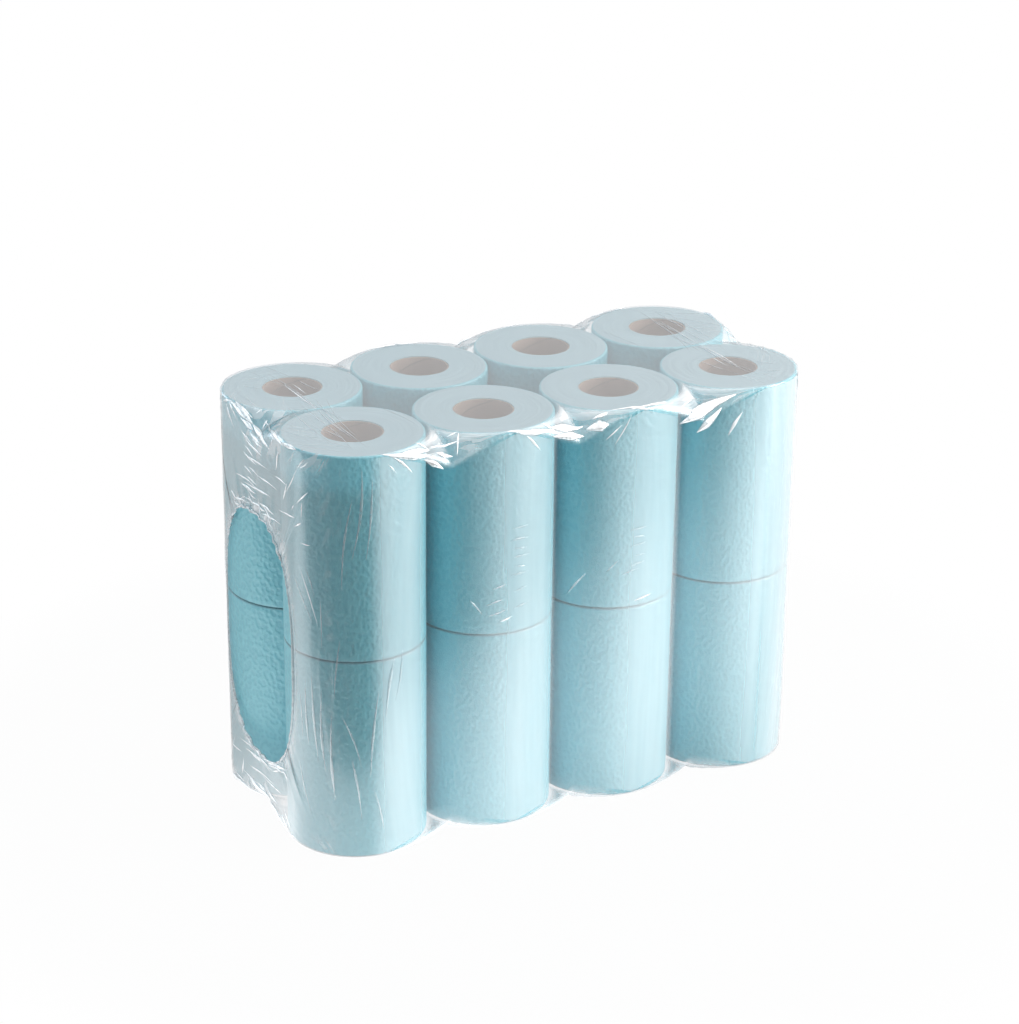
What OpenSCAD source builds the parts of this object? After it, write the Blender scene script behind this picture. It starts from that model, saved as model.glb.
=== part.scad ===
// A shrink-wrapped pack of paper towel rolls: two rows and two layers of rolls on
// cardboard cores, inside one sleeve of clear film with an oval opening at each end.
// Millimetres. X runs along the row, the front is -Y, and Z = 0 is under the film.

/* [Pack] */
// Rolls side by side in a row
columns = 4; // [2:1:6]
// Gap left between neighbouring rolls
roll_gap = 0.2; // [0.1:0.1:0.8]

/* [Rolls] */
// Outside diameter of a roll
roll_d = 133; // [110:1:170]
// Height of a roll, which is the width of its paper
roll_h = 200; // [150:1:300]
// Rounding of the cut edges of a roll
edge_round = 3; // [2:0.5:4]
// Radial distance between the turns that show on a cut end
turn_pitch = 3.6; // [3:0.2:8]
// Width of the line between two turns
turn_w = 1; // [0.6:0.2:2]
// Depth of the line between two turns
turn_depth = 0.6; // [0.2:0.1:1.5]
// Step at the loose end of the last sheet
tail_step = 0.5; // [0.2:0.1:1]
// Width of the step at the loose end of the last sheet
tail_w = 1.2; // [0.8:0.2:3]

/* [Cores] */
// Bore of a cardboard core
core_bore = 54; // [30:1:70]
// Wall of a cardboard core
core_wall = 1.5; // [1:0.1:3]
// Depth of a core's end below the end of its roll
core_recess = 1; // [0.5:0.5:4]
// Gap between a core and the paper wound on it
core_gap = 0.05; // [0.02:0.01:0.2]

/* [Film] */
// Thickness of the film
film_t = 0.4; // [0.3:0.05:0.8]
// Gap between the film and the rolls
film_gap = 0.5; // [0.5:0.1:1]
// Height of the film's bend over the edge of a roll
film_bend = 2; // [1:0.5:4]
// Extra fall of the film's rounded edge at the valley between two rolls
web_drop = 24.5; // [8:0.5:30]

/* [End openings] */
// Width of the opening, measured over the film
hole_w = 154; // [110:2:170]
// Height of film left above the opening
hole_above = 92; // [60:2:110]
// Height of film left below the opening
hole_below = 60; // [40:2:110]
// Squareness of the opening: 2 is an ellipse, more is squarer
hole_square = 2.6; // [2:0.1:4]
// Height of the gathers at the rim of the opening
gather_h = 3; // [1:0.5:5]
// Extra thickness of the drawn-up rim
rim_bead = 0.8; // [0.2:0.1:2]

/* [Hidden] */
$fn = 96;
LAYERS = ["lower", "upper"];
ROWS = ["front", "back"];
function node_name(kind, layer, row, column) =
    str(kind, "_", LAYERS[layer], "_", ROWS[row], "_", column);

// Direction of each roll's loose paper end, by layer, row and column
tail_angles = [
    [[60, 110, 272, 30], [80, 130, 60, 40]],
    [[130, 20, 80, 257], [20, 160, 100, 70]]
];

roll_r = roll_d / 2;
core_r = core_bore / 2 + core_wall;
roll_bore_r = core_r + core_gap;
pitch = roll_d + roll_gap;
end_x = (columns - 1) / 2 * pitch;
row_y = pitch / 2;
rolls_h = len(LAYERS) * roll_h;
edge_steps = 3;

roll_color = [0.62, 0.83, 0.88];
core_color = [0.80, 0.73, 0.65];
film_color = [0.90, 0.95, 0.97, 0.35];

// Places one piece of a roll in the pack
module in_pack(layer, row, column) {
    x = (column - 1) * pitch - end_x;
    y = row == 0 ? -row_y : row_y;
    translate([x, y, film_t + layer * roll_h]) children();
}

// One wound roll: a section with rounded edges and a groove between the turns at each end
turn_radii = [for (r = roll_bore_r + turn_pitch; r < roll_r - edge_round - turn_w; r = r + turn_pitch) r];
function edge_arc(z, first, last) = [
    for (i = [0:edge_steps])
        let (a = first + (last - first) * i / edge_steps)
        [roll_r - edge_round * (1 - cos(a)), z + edge_round * sin(a)]
];
foot_grooves = [for (r = turn_radii) each [[r - turn_w / 2, 0], [r, turn_depth], [r + turn_w / 2, 0]]];
top_grooves = [for (i = [len(foot_grooves) - 1:-1:0]) [foot_grooves[i][0], roll_h - foot_grooves[i][1]]];

module roll(tail_angle) {
    color(roll_color)
    difference() {
        rotate_extrude()
            polygon(concat(
                [[roll_bore_r, 0]],
                foot_grooves,
                edge_arc(edge_round, -90, 0),
                edge_arc(roll_h - edge_round, 0, 90),
                top_grooves,
                [[roll_bore_r, roll_h]]
            ));
        rotate(tail_angle)
            translate([roll_r - tail_step, -tail_w / 2, -1])
                cube([2 * tail_step, tail_w, roll_h + 2]);
    }
}

// One wound cardboard tube
module core() {
    color(core_color)
    translate([0, 0, core_recess])
    difference() {
        cylinder(h = roll_h - 2 * core_recess, r = core_r);
        translate([0, 0, -1]) cylinder(h = roll_h, d = core_bore);
    }
}

// The film is a grid of points that runs from the rim of one opening, over the pack, to the
// rim of the other. Lines along the pack are called strands, lines around it are called loops.
// A place on the end wall is a turn number: 0 is the middle of the end, 1 is where the corner
// roll begins and 2 is where the straight front or back begins. The film bends over an edge by
// a curl angle, from 0 where it is level to 90 where it hangs upright.
half_curl = 45;
edge_turn = 1.47;
turn_above_edge = 1.53;
turn_below_edge = 1.5;
flat_parts = 5;
corner_parts = 4;
wall_parts = 6;
half_pitch_parts = 4;
top_end_parts = 5;
end_wall_parts = 4;

// Length along the end wall from its middle to a turn number, and back
corner_arc = roll_r * PI / 2;
function wall_length(turn) = turn <= 1 ? row_y * (1 - cos(90 * turn)) : row_y + corner_arc * (turn - 1);
function wall_turn(length) = length <= row_y
    ? acos(1 - length / row_y) / 90
    : 1 + (length - row_y) / corner_arc;

// Points in plan, on the first quarter of the pack, for a skin that lies `out` from the rolls
function on_wall(turn, out) = turn <= 1
    ? [end_x + roll_r + out, row_y * (1 - cos(90 * turn))]
    : [end_x + (roll_r + out) * cos(90 * (turn - 1)), row_y + (roll_r + out) * sin(90 * (turn - 1))];
function on_rim(turn, out) = turn <= 1
    ? [end_x + sqrt((roll_r + out) ^ 2 - (row_y * cos(90 * turn)) ^ 2), row_y * (1 - cos(90 * turn))]
    : on_wall(turn, out);
function wall_normal(turn) = turn <= 1 ? [1, 0] : [cos(90 * (turn - 1)), sin(90 * (turn - 1))];

// Heights of the top and the foot of a skin
function top_z(out) = film_t + rolls_h + out;
function foot_z(out) = film_t + film_gap - out;

// Strands: across the top, down the front, back across the foot and up the back
top_turns = concat(
    [for (i = [0:corner_parts - 1]) edge_turn - (edge_turn - 1) * i / corner_parts],
    [for (i = [0:flat_parts]) 1 - i / flat_parts]
);
across = concat(top_turns, [for (i = [len(top_turns) - 2:-1:0]) -top_turns[i]]);
strands = concat(
    [for (turn = across) ["top", turn, 0]],
    [["top", -edge_turn, half_curl]],
    [for (i = [0:wall_parts]) ["front", i / wall_parts, 90]],
    [["foot", -edge_turn, half_curl]],
    [for (turn = across) ["foot", -turn, 0]],
    [["foot", edge_turn, half_curl]],
    [for (i = [0:wall_parts]) ["back", 1 - i / wall_parts, 90]],
    [["top", edge_turn, half_curl]]
);
function level(strand) = strand[0] == "top" || strand[0] == "foot";
function side(strand) = level(strand) ? sign(strand[1]) : (strand[0] == "front" ? -1 : 1);
function level_z(strand, out, drop) = strand[0] == "top" ? top_z(out) - drop : foot_z(out) + drop;
function wall_z(strand, out, drop) =
    (top_z(out) - drop) * (1 - strand[1]) + (foot_z(out) + drop) * strand[1];
function height(strand, out, drop) = level(strand) ? level_z(strand, out, drop) : wall_z(strand, out, drop);

// Loops: [0, x] crosses the rolls, [1, share, end] crosses the top of an end roll,
// [2, curl, end] bends over its edge and [3, share, end] runs down the end wall to the rim
body_loops = [
    for (c = [0:columns - 2], i = [0:2 * half_pitch_parts - 1])
        let (a = 90 * i / half_pitch_parts, share = a <= 90 ? sin(a) : 2 - sin(a))
        [0, c * pitch - end_x + share * pitch / 2]
];
function end_loops(end) = concat(
    [for (i = [1:top_end_parts]) [1, i / top_end_parts, end]],
    [[2, half_curl, end]],
    [for (i = [0:end_wall_parts]) [3, i / end_wall_parts, end]]
);
left_loops = end_loops(-1);
loops = concat(
    [for (i = [len(left_loops) - 1:-1:0]) left_loops[i]],
    body_loops,
    [[0, end_x]],
    end_loops(1)
);

// A loop across the rolls: level over them, with a rounded web that falls more in the valleys
function over_rolls(strand, x, out) =
    let (
        column_x = round((x + end_x) / pitch) * pitch - end_x,
        reach = row_y + sqrt((roll_r + out) ^ 2 - (x - column_x) ^ 2),
        wall_y = row_y + roll_r + out,
        fall = film_bend + web_drop * abs(x - column_x) / (pitch / 2),
        share = wall_length(abs(strand[1])) / wall_length(edge_turn)
    )
    level(strand)
        ? [x, side(strand) * (share * reach + (wall_y - reach) * sin(strand[2])),
            level_z(strand, out, fall * (1 - cos(strand[2])))]
        : [x, side(strand) * wall_y, wall_z(strand, out, fall)];

// Where a strand bends over the edge of the end, as [turn number, height]
function edge_place(strand, curl, out) =
    let (
        start = level(strand) ? abs(strand[1]) : edge_turn,
        corner = turn_above_edge + (turn_below_edge - turn_above_edge) * curl / 90,
        valley = start <= 1 ? cos(90 * start) : 0,
        fall = (film_bend + web_drop * valley) * (1 - cos(curl)) + film_bend * (1 - cos(strand[2]))
            + film_bend * curl * strand[2] / 90 ^ 2
    )
    [start + (corner - edge_turn) * strand[2] / 90, height(strand, out, fall)];

// A loop on the way to the edge of an end roll
function to_edge(strand, share, end, out) =
    let (
        edge = edge_place(strand, 0, out),
        start = [end_x, wall_length(edge[0]) / wall_length(edge_turn) * (row_y + roll_r + out)],
        plan = edge[0] < edge_turn
            ? start * (1 - share) + on_rim(edge[0], out) * share
            : on_wall(2 + (edge[0] - 2) * share, out)
    )
    [end * plan[0], side(strand) * plan[1], edge[1]];

// A loop on the bend over the edge of an end roll
function over_edge(strand, curl, end, out) =
    let (
        edge = edge_place(strand, curl, out),
        plan = on_rim(edge[0], out) * (1 - sin(curl)) + on_wall(edge[0], out) * sin(curl)
    )
    [end * plan[0], side(strand) * plan[1], edge[1]];

// The point of the opening's rim in the same direction as a strand, as [turn number, height]
hole_z = (hole_below + top_z(0) - hole_above) / 2;
hole_r = (top_z(0) - hole_above - hole_below) / 2;
function rim_place(strand) =
    let (
        from = edge_place(strand, 90, film_gap),
        dy = wall_length(from[0]),
        dz = from[1] - hole_z,
        reach = ((dy * 2 / hole_w) ^ hole_square + (abs(dz) / hole_r) ^ hole_square) ^ (1 / hole_square)
    )
    [wall_turn(dy / reach), hole_z + dz / reach];

// A loop on the end wall, with the gathers that stand out toward the rim
function down_end(strand, index, share, end, out) =
    let (
        from = edge_place(strand, 90, out),
        rim = rim_place(strand),
        turn = wall_turn(wall_length(from[0]) * (1 - share) + wall_length(rim[0]) * share),
        gather = index % 2 == 0 ? gather_h * share ^ 2 : 0,
        bead = share == 1 && out > film_gap ? rim_bead : 0,
        plan = on_wall(turn, out) + wall_normal(turn) * (gather + bead)
    )
    [end * plan[0], side(strand) * plan[1], from[1] * (1 - share) + rim[1] * share];

function film_point(loop, strand, index, out) =
    loop[0] == 0 ? over_rolls(strand, loop[1], out)
    : loop[0] == 1 ? to_edge(strand, loop[1], loop[2], out)
    : loop[0] == 2 ? over_edge(strand, loop[1], loop[2], out)
    : down_end(strand, index, loop[1], loop[2], out);

function skin(out) = [for (loop = loops, i = [0:len(strands) - 1]) film_point(loop, strands[i], i, out)];

// The sleeve of clear film: an outer skin, an inner skin and the two rims that join them.
// Each square of the grid is split along the diagonal that bends less round the end rolls.
module film() {
    n = len(strands);
    last = len(loops) - 1;
    inner = n * len(loops);
    outer_skin = skin(film_gap + film_t);
    outer_faces = [
        for (i = [0:last - 1], j = [0:n - 1])
            let (
                a = i * n + j,
                b = i * n + (j + 1) % n,
                middle = (outer_skin[a] + outer_skin[b + n]) / 2,
                leans = middle[0] * middle[1] * (middle[2] - rolls_h / 2) < 0
            )
            each leans
                ? [[a, b + n, b], [a, a + n, b + n]]
                : [[a, a + n, b], [b, a + n, b + n]]
    ];
    inner_faces = [for (f = outer_faces) [f[0] + inner, f[2] + inner, f[1] + inner]];
    rims = [
        for (start = [0, last * n], j = [0:n - 1])
            let (a = start + j, b = start + (j + 1) % n)
            each start == 0
                ? [[a, b, a + inner], [b, b + inner, a + inner]]
                : [[a, a + inner, b], [b, a + inner, b + inner]]
    ];
    color(film_color)
        polyhedron(concat(outer_skin, skin(film_gap)), concat(outer_faces, inner_faces, rims));
}

for (layer = [0:1], row = [0:1], column = [1:columns]) {
    in_pack(layer, row, column) roll(tail_angles[layer][row][(column - 1) % 4]);
    in_pack(layer, row, column) core();
}
film();
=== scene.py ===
"""A shrink-wrapped pack of paper towel rolls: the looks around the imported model.

Metres. X runs along the row, the front is -Y, and Z = 0 is under the film.
"""

import math

import bpy
import numpy as np
from mathutils import Matrix, Vector
from mathutils.bvhtree import BVHTree


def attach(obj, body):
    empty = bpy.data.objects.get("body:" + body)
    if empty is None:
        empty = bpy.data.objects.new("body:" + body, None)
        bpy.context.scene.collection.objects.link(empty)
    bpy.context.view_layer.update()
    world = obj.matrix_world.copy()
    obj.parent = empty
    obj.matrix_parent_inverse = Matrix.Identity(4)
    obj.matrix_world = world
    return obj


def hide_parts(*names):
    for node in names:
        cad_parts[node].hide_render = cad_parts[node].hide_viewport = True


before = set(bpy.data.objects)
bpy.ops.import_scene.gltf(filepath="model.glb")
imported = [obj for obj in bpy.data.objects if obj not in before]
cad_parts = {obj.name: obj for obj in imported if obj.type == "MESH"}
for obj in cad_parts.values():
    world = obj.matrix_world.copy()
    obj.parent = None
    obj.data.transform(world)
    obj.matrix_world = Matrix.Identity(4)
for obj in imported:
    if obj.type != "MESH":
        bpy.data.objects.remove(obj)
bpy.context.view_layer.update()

# Sizes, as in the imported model
COLUMNS = 4
ROLL_R = 0.0665
PITCH = 0.1332
END_X = (COLUMNS - 1) / 2 * PITCH
ROW_Y = PITCH / 2
ROLL_H = 0.200
ROLLS_H = 2 * ROLL_H
FILM_T = 0.0004
FILM_GAP = 0.0005
ROLL_BORE_R = 0.02855
SHEET_LINE = 0.00115
LAYERS = ("lower", "upper")
ROWS = ("front", "back")
TAIL_ANGLES = (((60, 110, 272, 30), (80, 130, 60, 40)),
               ((130, 20, 80, 257), (20, 160, 100, 70)))

# The photograph's size in pixels, and the lens and sensor in millimetres of the camera fitted to it
PHOTO_W, PHOTO_H = 1019, 1024
LENS, SENSOR = 97.25, 36


# Camera
def aim_camera():
    """Sets up the camera fitted to the photograph, and gives its matrix.

    It follows from the camera's place, the point it looks at, and a slight roll.
    """
    eye = Vector((-1.18397, -2.18772, 1.27720))
    target = Vector((-0.00215, 0.0, 0.26081))
    roll = math.radians(0.611)
    ahead = (target - eye).normalized()
    right = ahead.cross(Vector((0, 0, 1))).normalized()
    up = right.cross(ahead)
    across = math.cos(roll) * right + math.sin(roll) * up
    upward = -math.sin(roll) * right + math.cos(roll) * up
    data = bpy.data.cameras.new("camera")
    data.lens = LENS
    data.sensor_width = SENSOR
    camera = bpy.data.objects.new("camera", data)
    bpy.context.scene.collection.objects.link(camera)
    view = Matrix((
        (across.x, upward.x, -ahead.x, eye.x),
        (across.y, upward.y, -ahead.y, eye.y),
        (across.z, upward.z, -ahead.z, eye.z),
        (0, 0, 0, 1)))
    camera.matrix_world = view
    bpy.context.scene.camera = camera
    return view


VIEW = aim_camera()


# Meshes
def grid_faces(rows, columns, close_rows=False, close_columns=False):
    """The four corners of every cell of a grid whose point (i, j) is number i * columns + j.

    A closed direction joins its last line to its first.
    """
    i = np.arange(rows if close_rows else rows - 1)
    j = np.arange(columns if close_columns else columns - 1)
    a, b = np.meshgrid(i, j, indexing="ij")
    c, d = (a + 1) % rows, (b + 1) % columns
    return np.stack([a * columns + b, c * columns + b, c * columns + d, a * columns + d], -1).reshape(-1, 4)


def add_mesh(name, points, faces, uvs, material, sharp=None):
    """One object from an array of points, an array of four-sided faces and a UV for each corner."""
    mesh = bpy.data.meshes.new(name)
    mesh.vertices.add(len(points))
    mesh.vertices.foreach_set("co", np.asarray(points, np.float32).ravel())
    mesh.loops.add(faces.size)
    mesh.loops.foreach_set("vertex_index", faces.astype(np.int32).ravel())
    mesh.polygons.add(len(faces))
    mesh.polygons.foreach_set("loop_start", np.arange(0, faces.size, 4, dtype=np.int32))
    mesh.polygons.foreach_set("loop_total", np.full(len(faces), 4, np.int32))
    mesh.update(calc_edges=True)
    layer = mesh.uv_layers.new(name="flow")
    layer.data.foreach_set("uv", np.asarray(uvs, np.float32).ravel())
    mesh.polygons.foreach_set("use_smooth", np.ones(len(faces), bool))
    if sharp:
        mesh.set_sharp_from_angle(angle=math.radians(sharp))
    mesh.validate()
    mesh.materials.append(material)
    piece = bpy.data.objects.new(name, mesh)
    bpy.context.scene.collection.objects.link(piece)
    return piece


def smoothstep(low, high, value):
    """0 below low, 1 above high, and a smooth rise between them."""
    t = np.clip((value - low) / (high - low), 0, 1)
    return t * t * (3 - 2 * t)


def waves(u, v, seed, count=5, low=20.0, high=80.0):
    """A sum of sine waves of seeded directions, lengths and phases, scaled to about -1 to 1."""
    rng = np.random.default_rng(seed)
    total = np.zeros(np.broadcast(u, v).shape)
    for _ in range(count):
        angle, rate, phase = rng.uniform(0, 2 * np.pi), rng.uniform(low, high), rng.uniform(0, 2 * np.pi)
        total += np.sin(rate * (u * np.cos(angle) + v * np.sin(angle)) + phase)
    return total / math.sqrt(count) / 1.4


# Material helpers
class Nodes:
    """Adds nodes to one tree and joins them."""

    def __init__(self, tree):
        self.tree = tree
        tree.nodes.clear()

    def add(self, kind, values=None, **settings):
        """One node with its settings; each input gets a value, or a link from a socket."""
        node = self.tree.nodes.new(kind)
        for key, value in settings.items():
            setattr(node, key, value)
        for key, value in (values or {}).items():
            if isinstance(value, bpy.types.NodeSocket):
                self.tree.links.new(value, node.inputs[key])
            else:
                node.inputs[key].default_value = value
        return node

    def math(self, operation, a, b=0.0, clamp=False):
        node = self.add("ShaderNodeMath", {0: a, 1: b}, operation=operation, use_clamp=clamp)
        return node.outputs[0]

    def rise(self, value, low, high, to_low=0.0, to_high=1.0):
        """Maps low..high to to_low..to_high with soft ends."""
        node = self.add("ShaderNodeMapRange", {0: value, 1: low, 2: high, 3: to_low, 4: to_high},
                        interpolation_type="SMOOTHSTEP")
        return node.outputs[0]

    def noise(self, vector, scale, detail=3.0, roughness=0.55, distortion=0.0):
        """The value of a noise texture, about 0.5 on average."""
        node = self.add("ShaderNodeTexNoise", {"Vector": vector, "Scale": scale, "Detail": detail,
                                               "Roughness": roughness, "Distortion": distortion})
        return node.outputs[0]

    def stretch(self, vector, scale):
        """Scales a vector along each axis, so that a pattern becomes long one way."""
        return self.add("ShaderNodeMapping", {"Vector": vector, "Scale": scale}).outputs[0]

    def mix_colour(self, factor, a, b):
        return self.add("ShaderNodeMix", {0: factor, 6: a, 7: b}, data_type="RGBA").outputs[2]


def new_material(name):
    material = bpy.data.materials.new(name)
    material.use_nodes = True
    return material, Nodes(material.node_tree)


def new_group(name, inputs, outputs):
    """An empty node group with named float or vector inputs and outputs."""
    tree = bpy.data.node_groups.new(name, "ShaderNodeTree")
    for label, kind in inputs:
        tree.interface.new_socket(name=label, in_out="INPUT", socket_type=kind)
    for label, kind in outputs:
        tree.interface.new_socket(name=label, in_out="OUTPUT", socket_type=kind)
    nodes = Nodes(tree)
    return tree, nodes, nodes.add("NodeGroupInput").outputs, nodes.add("NodeGroupOutput")


def fibre_group():
    """Short fibres and soft clouds of uneven density, as in pulp paper and board."""
    tree, n, given, out = new_group("fibre", [("Vector", "NodeSocketVector"), ("Scale", "NodeSocketFloat")],
                                    [("Fibre", "NodeSocketFloat"), ("Cloud", "NodeSocketFloat")])
    fine = n.noise(n.stretch(given["Vector"], (1, 0.35, 1)), given["Scale"], 4.0, 0.65)
    cloud = n.noise(given["Vector"], n.math("MULTIPLY", given["Scale"], 0.07), 2.0, 0.5)
    n.tree.links.new(fine, out.inputs["Fibre"])
    n.tree.links.new(cloud, out.inputs["Cloud"])
    return tree


FIBRE = fibre_group()


def paper_material():
    """Creped, embossed blue-green paper; the UV map is metres round and along the roll."""
    material, n = new_material("blue_green_paper")
    uv = n.add("ShaderNodeUVMap", uv_map="flow").outputs[0]
    across = n.add("ShaderNodeSeparateXYZ", {0: uv}).outputs
    on_end = n.rise(across[1], -0.0035, -0.002, 1.0, 0.0)
    fibre = n.add("ShaderNodeGroup", {"Vector": uv, "Scale": 700.0}, node_tree=FIBRE).outputs
    # Crepe: fine uneven ridges that run round the roll
    crepe = n.noise(n.stretch(uv, (260, 620, 1)), 1.0, 3.0, 0.6, 0.6)
    # Emboss: rows of small rounded hollows, drawn by a cell pattern
    dots = n.add("ShaderNodeTexVoronoi", {"Vector": n.stretch(uv, (1, 0.8, 1)), "Scale": 230.0,
                                          "Randomness": 0.85}, feature="SMOOTH_F1",
                 voronoi_dimensions="2D").outputs[0]
    hollow = n.rise(dots, 0.15, 0.55)
    # Turns: the edges of the wound sheets on a cut end, with a slow wander
    wander = n.noise(n.stretch(uv, (14, 60, 1)), 1.0, 2.0)
    phase = n.math("ADD", n.math("MULTIPLY", across[1], 2 * math.pi / SHEET_LINE),
                   n.math("MULTIPLY", wander, 9.0))
    turns = n.math("SINE", phase)
    coarse = n.noise(n.stretch(uv, (6, 420, 1)), 1.0, 3.0, 0.6)
    side_height = n.math("ADD", n.math("MULTIPLY", hollow, 0.55), n.math("MULTIPLY", crepe, 0.5))
    end_height = n.math("ADD", n.math("MULTIPLY", turns, 0.12), n.math("MULTIPLY", coarse, 1.1))
    height = n.add("ShaderNodeMix", {0: on_end, 2: side_height, 3: end_height}).outputs[0]
    height = n.math("ADD", height, n.math("MULTIPLY", fibre[0], 0.35))
    bump = n.add("ShaderNodeBump", {"Height": height, "Strength": 0.42, "Distance": 0.0016}).outputs[0]
    tone = n.math("ADD", n.math("MULTIPLY", fibre[1], 0.5), n.math("MULTIPLY", hollow, 0.5))
    side_colour = n.mix_colour(tone, (0.05, 0.47, 0.575, 1), (0.12, 0.59, 0.675, 1))
    # Painted shade: the paper is darkened along the joint between the two layers of rolls, where the groove
    # would be in shadow, and at the foot of the lower one as a painted contact shadow
    place = n.add("ShaderNodeTexCoord").outputs["Object"]
    height_up = n.add("ShaderNodeSeparateXYZ", {0: place}).outputs[2]
    from_joint = n.math("ABSOLUTE", n.math("SUBTRACT", height_up, FILM_T + ROLL_H))
    painted_joint_shade = n.math("MAXIMUM", n.rise(from_joint, 0.0005, 0.0021, 0.75, 0.0),
                  n.rise(height_up, 0.0008, 0.0026, 0.9, 0.0))
    side_colour = n.mix_colour(painted_joint_shade, side_colour, (0.015, 0.13, 0.17, 1))
    ring = n.rise(coarse, 0.3, 0.7)
    end_colour = n.mix_colour(ring, (0.24, 0.47, 0.54, 1), (0.36, 0.60, 0.66, 1))
    colour = n.mix_colour(on_end, side_colour, end_colour)
    shader = n.add("ShaderNodeBsdfPrincipled", {
        "Base Color": colour, "Roughness": 0.8, "Specular IOR Level": 0.2,
        "Coat Weight": 1.0, "Coat Roughness": 0.45, "Coat IOR": 2.5,
        "Normal": bump, "Coat Normal": bump})
    n.add("ShaderNodeOutputMaterial", {0: shader.outputs[0]})
    return material


def board_material():
    """Grey-brown core board with a spiral seam, drawn on Object coordinates wrapped to one column."""
    material, n = new_material("core_board")
    place = n.add("ShaderNodeTexCoord").outputs["Object"]
    axes = n.add("ShaderNodeSeparateXYZ", {0: place}).outputs
    x = n.add("ShaderNodeMath", {0: axes[0], 1: PITCH, 2: 0.0}, operation="WRAP").outputs[0]
    y = n.add("ShaderNodeMath", {0: axes[1], 1: PITCH, 2: 0.0}, operation="WRAP").outputs[0]
    angle = n.math("ARCTAN2", n.math("SUBTRACT", y, ROW_Y), n.math("SUBTRACT", x, ROW_Y))
    turn = n.math("ADD", n.math("DIVIDE", angle, 2 * math.pi), n.math("MULTIPLY", axes[2], 16.0))
    seam_place = n.math("ABSOLUTE", n.math("SUBTRACT", n.math("FRACT", turn), 0.5))
    seam = n.rise(seam_place, 0.004, 0.016, 1.0, 0.0)
    fibre = n.add("ShaderNodeGroup", {"Vector": place, "Scale": 900.0}, node_tree=FIBRE).outputs
    tone = n.math("ADD", n.math("MULTIPLY", fibre[0], 0.5), n.math("MULTIPLY", fibre[1], 0.6))
    board = n.mix_colour(tone, (0.40, 0.27, 0.20, 1), (0.60, 0.43, 0.34, 1))
    colour = n.mix_colour(n.math("MULTIPLY", seam, 0.55), board, (0.27, 0.2, 0.16, 1))
    height = n.math("SUBTRACT", n.math("MULTIPLY", fibre[0], 0.5), seam)
    bump = n.add("ShaderNodeBump", {"Height": height, "Strength": 0.5, "Distance": 0.0004}).outputs[0]
    shader = n.add("ShaderNodeBsdfPrincipled", {
        "Base Color": colour, "Roughness": 0.85, "Specular IOR Level": 0.3, "Normal": bump})
    n.add("ShaderNodeOutputMaterial", {0: shader.outputs[0]})
    return material


def clear_film_output(n, shown, shader, tint):
    """Joins a film's shader to clear film: shown gives how much of the shader the outer face shows.

    Shadow rays, diffuse rays and reflections take one plain tint, which is quick to work out.
    """
    clear = n.add("ShaderNodeBsdfTransparent", {"Color": tint})
    detail = n.add("ShaderNodeMixShader", {0: shown, 1: clear.outputs[0], 2: shader.outputs[0]})
    inner_face = n.add("ShaderNodeNewGeometry").outputs["Backfacing"]
    faces = n.add("ShaderNodeMixShader", {0: inner_face, 1: detail.outputs[0], 2: clear.outputs[0]})
    rays = n.add("ShaderNodeLightPath").outputs
    gathers_light = n.math("MAXIMUM", rays["Is Shadow Ray"], n.math(
        "MAXIMUM", rays["Is Diffuse Ray"], rays["Is Glossy Ray"]))
    dimmed = n.add("ShaderNodeBsdfTransparent", {"Color": (0.885, 0.90, 0.91, 1)})
    mix = n.add("ShaderNodeMixShader", {0: gathers_light, 1: faces.outputs[0], 2: dimmed.outputs[0]})
    n.add("ShaderNodeOutputMaterial", {0: mix.outputs[0]})


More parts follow.
